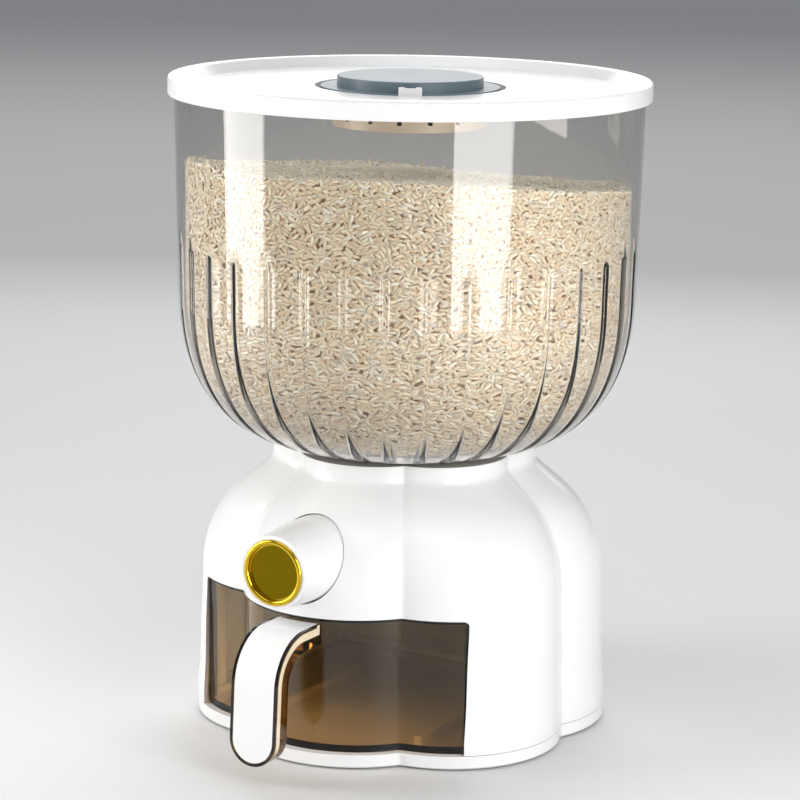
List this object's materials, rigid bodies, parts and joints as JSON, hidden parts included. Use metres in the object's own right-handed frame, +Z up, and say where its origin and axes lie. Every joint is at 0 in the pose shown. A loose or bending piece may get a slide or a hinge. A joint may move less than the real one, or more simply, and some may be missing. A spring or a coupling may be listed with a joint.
{
  "type": "rice dispenser with drawer",
  "caption": "Countertop grain dispenser: a round clear hopper with a dished lid over a lobed white base with a push button and a pull-out drawer cup.",
  "frame": {"origin": "on the surface it stands on, at the middle of the base, under the axis of the lobes, hopper and lid", "axes": "+Z up along the hopper's axis; -Y is the front, with the button and the drawer; +X is the right-hand side seen from the back"},
  "size_m": [0.2434, 0.265, 0.3324],
  "materials": {
    "white_plastic": "smooth satin-gloss white moulding",
    "clear_plastic": "clear, faintly smoky, polished",
    "smoked_plastic": "see-through dark brown, polished",
    "grey_blue_plastic": "soft satin grey-blue",
    "gold_plating": "polished gold-coloured plating",
    "inner_plastic": "plain inner moulding",
    "box_plastic": "warm white moulding",
    "soft_seal": "translucent silicone",
    "foot_rubber": "matt rubber",
    "steel": "bright zinc-plated steel"
  },
  "bodies": {
    "base": {"base_shell": "white_plastic", "base_plate": "white_plastic", "rubber_feet": "foot_rubber", "plate_screws": "steel", "drawer_deck": "inner_plastic", "deck_screws": "steel", "gate_housing": "inner_plastic", "housing_screws": "steel", "outlet_chute": "inner_plastic", "feed_funnel": "inner_plastic", "hopper_seal": "soft_seal", "button_guide": "inner_plastic"},
    "button": {"button_barrel": "white_plastic", "button_cap": "gold_plating", "push_rod": "inner_plastic", "gate_plate": "inner_plastic", "rod_pin": "steel", "return_spring": "steel"},
    "drawer": {"drawer_cup": "smoked_plastic", "handle_grip": "white_plastic"},
    "hopper": {"hopper": "clear_plastic"},
    "lid": {"lid": "white_plastic", "lid_seal": "soft_seal", "desiccant_box": "box_plastic"},
    "latch": {"cap_latch": "white_plastic"},
    "cap": {"cap": "grey_blue_plastic", "cap_seal": "soft_seal"}
  },
  "joints": [
    {"name": "button_press", "type": "slide", "parent": "base", "child": "button", "axis": [0, 1, 0], "range_m": [0, 0.018], "stiffness_N_per_m": 300, "springref_m": -0.006, "deforming": ["return_spring"]},
    {"name": "drawer_slide", "type": "slide", "parent": "base", "child": "drawer", "axis": [0, -1, 0], "range_m": [0, 0.165]},
    {"name": "hopper_lift", "type": "slide", "parent": "base", "child": "hopper", "axis": [0, 0, 1], "range_m": [0, 0.06]},
    {"name": "lid_lift", "type": "slide", "parent": "hopper", "child": "lid", "axis": [0, 0, 1], "range_m": [0, 0.06]},
    {"name": "cap_lift", "type": "slide", "parent": "lid", "child": "cap", "axis": [0, 0, 1], "range_m": [0, 0.03]},
    {"name": "latch_release", "type": "slide", "parent": "lid", "child": "latch", "axis": [0.5, -0.866, 0], "range_m": [0, 0.0008], "stiffness_N_per_m": 30, "springref_m": -0.002}
  ]
}
